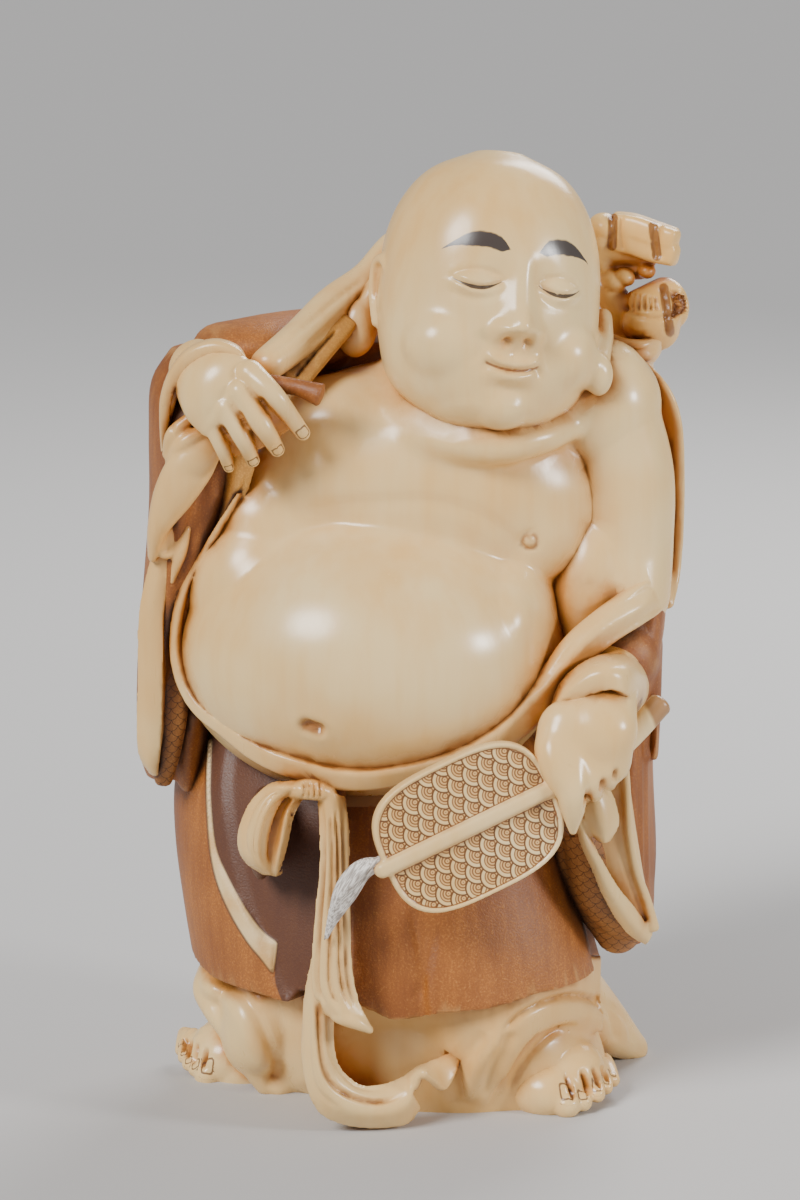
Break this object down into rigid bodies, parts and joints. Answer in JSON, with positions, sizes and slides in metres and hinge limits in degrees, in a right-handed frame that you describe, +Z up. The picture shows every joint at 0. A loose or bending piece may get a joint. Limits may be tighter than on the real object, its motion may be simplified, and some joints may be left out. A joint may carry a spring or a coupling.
{
  "type": "carved okimono of a standing monk with a fan and a sack",
  "caption": "Small standing ornament: a stout bald monk with a bare round belly, open robe, sack over the shoulder and a flat fan in the hand.",
  "frame": {"origin": "on the surface it stands on, under the middle of its bounding box", "axes": "+Z up along the height, the figure faces -Y and its left hand is on +X"},
  "size_m": [0.1144, 0.1046, 0.1974],
  "materials": {
    "carved_ivory": "polished cream ivory with brown stained robe and warm brown in the cuts",
    "fan_ivory": "engraved cream ivory, brown in the cuts, greyish tassel"
  },
  "bodies": {
    "root": {"figure": "carved_ivory", "fan": "fan_ivory"}
  },
  "joints": []
}
